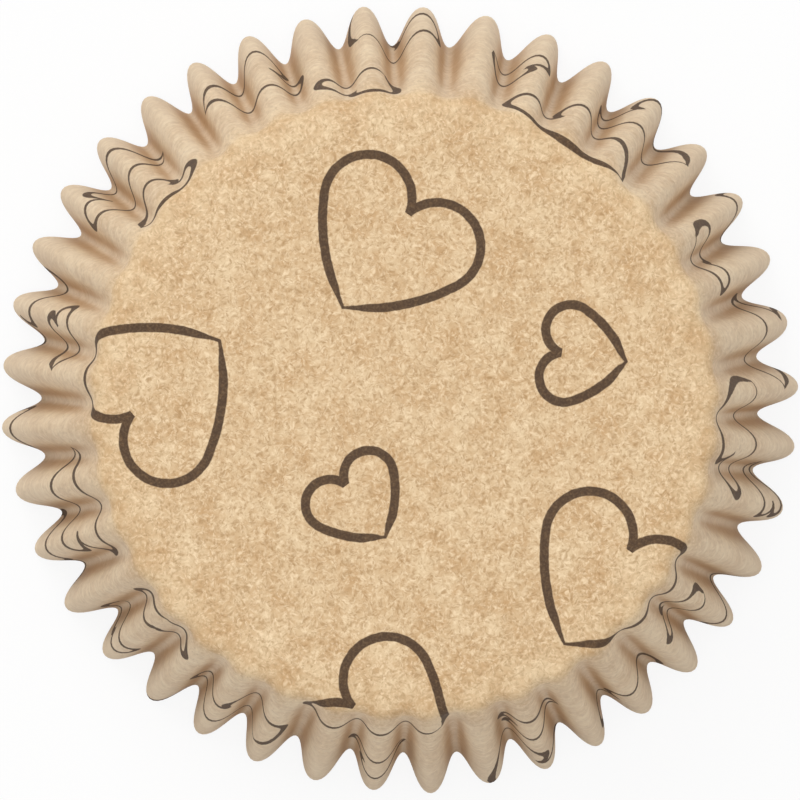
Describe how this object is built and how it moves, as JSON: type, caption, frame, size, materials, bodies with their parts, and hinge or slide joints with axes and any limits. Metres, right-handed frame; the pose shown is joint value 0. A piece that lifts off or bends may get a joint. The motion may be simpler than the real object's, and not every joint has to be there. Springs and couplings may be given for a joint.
{
  "type": "cupcake liner",
  "caption": "Round paper baking cup with a flat base and a pleated wall that leans outwards, standing mouth down on its cut edge.",
  "frame": {"origin": "centre of the mouth, on the plane of the cut edge that the liner stands on", "axes": "+Z along the axis of the cup, from the mouth to the base; +X to the right and +Y up in the picture"},
  "size_m": [0.07, 0.0692, 0.0308],
  "materials": {
    "paper": "matt unbleached greaseproof paper with heart outlines printed in dark brown on its outer face"
  },
  "bodies": {
    "root": {"liner": "paper"}
  },
  "joints": []
}
